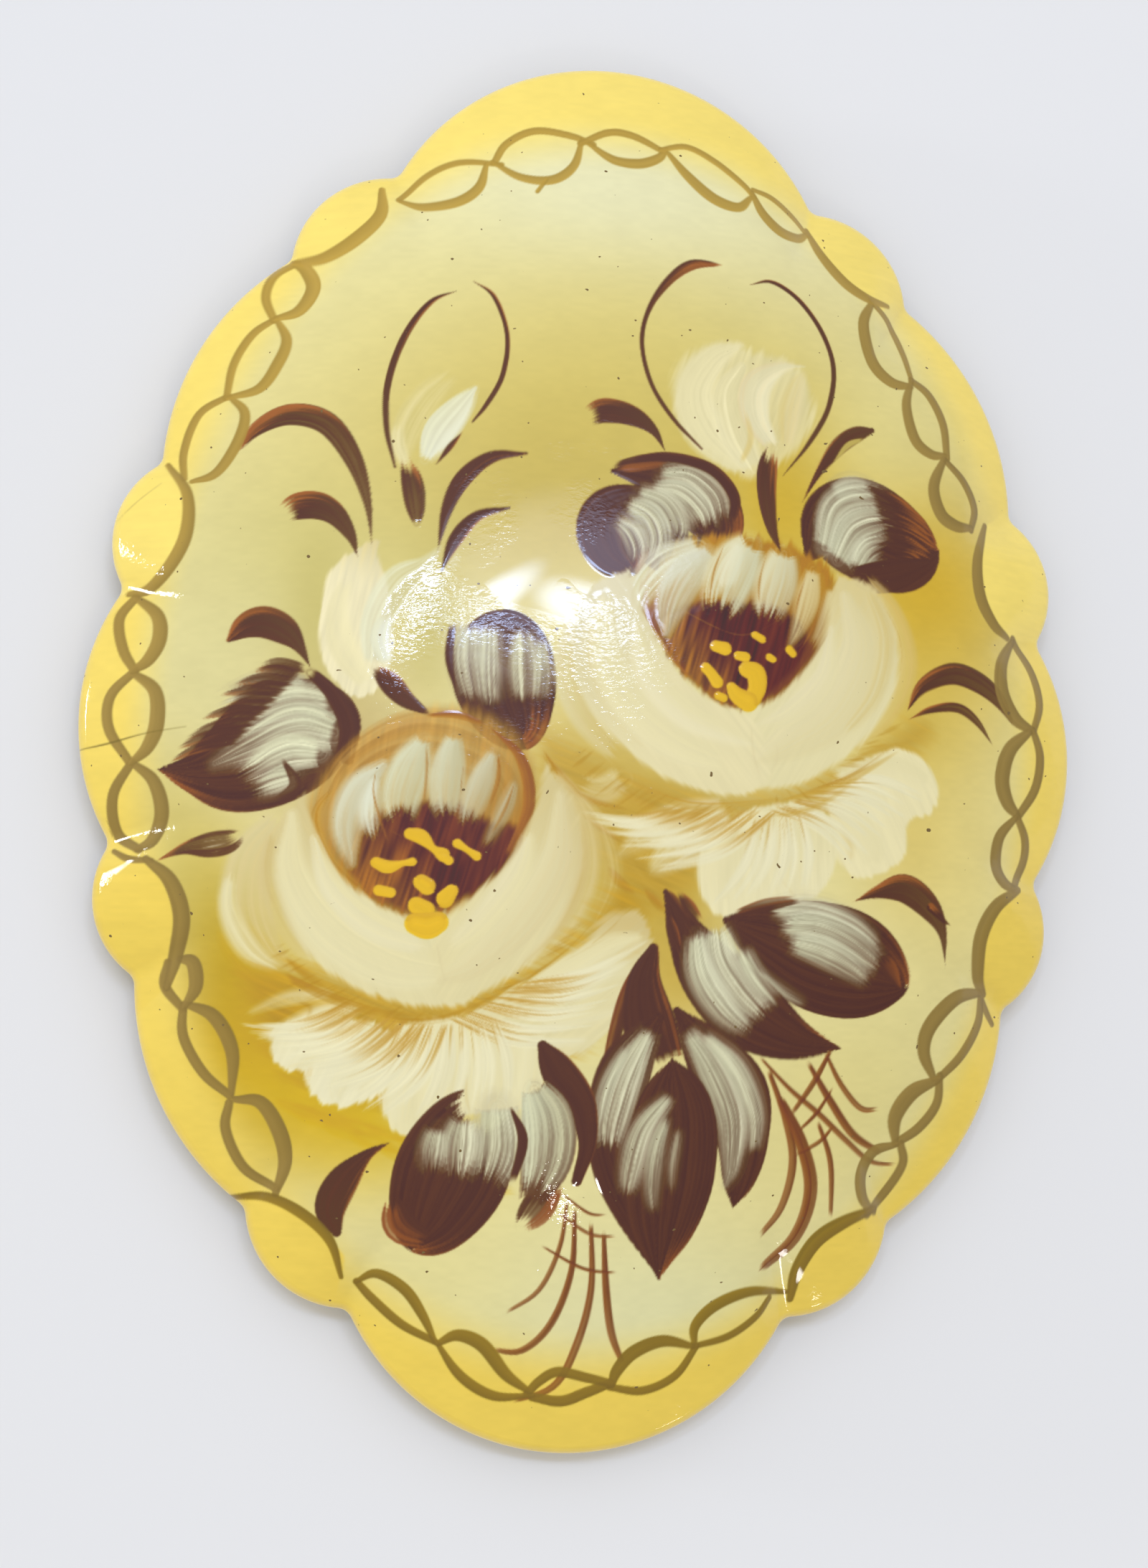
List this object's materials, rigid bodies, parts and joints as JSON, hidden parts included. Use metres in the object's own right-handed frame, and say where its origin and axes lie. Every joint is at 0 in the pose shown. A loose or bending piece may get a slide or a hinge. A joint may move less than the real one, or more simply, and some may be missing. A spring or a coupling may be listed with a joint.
{
  "type": "painted brooch",
  "caption": "Domed, scalloped oval folk-art brooch with a painted lacquer front and a safety-catch pin bar fixed across its hollow back.",
  "frame": {"origin": "under the middle of the outline, on the plane that the lowest piece of the pin finding touches", "axes": "+Z towards the painted front, +Y towards the top of the picture along the long axis, +X to its right"},
  "size_m": [0.0546, 0.076, 0.0112],
  "materials": {
    "painted_lacquer": "painted papier-mache under thick glossy clear lacquer",
    "putty": "hard dark filler, matte",
    "plated_steel": "nickel-plated sheet steel, lightly worn",
    "tack_brass": "plain brass, lightly tarnished",
    "pin_wire": "polished nickel-plated steel wire"
  },
  "bodies": {
    "brooch": {"body": "painted_lacquer", "mounting_bed": "putty", "pin_bar": "plated_steel", "tack_left": "tack_brass", "tack_right": "tack_brass", "hinge_bracket": "plated_steel", "hinge_rivet": "tack_brass", "catch_collar": "plated_steel"},
    "stem": {"pin_stem": "pin_wire"},
    "roller": {"catch_roller": "plated_steel"}
  },
  "joints": [
    {"name": "stem_hinge", "type": "hinge", "parent": "brooch", "child": "stem", "pos_m": [-0.0125, 0.007, 0.00196], "axis": [0, 1, 0], "range_deg": [0, 100]},
    {"name": "roller_turn", "type": "hinge", "parent": "brooch", "child": "roller", "pos_m": [0.0125, 0.007, 0.00196], "axis": [1, 0, 0], "range_deg": [0, 90]}
  ]
}
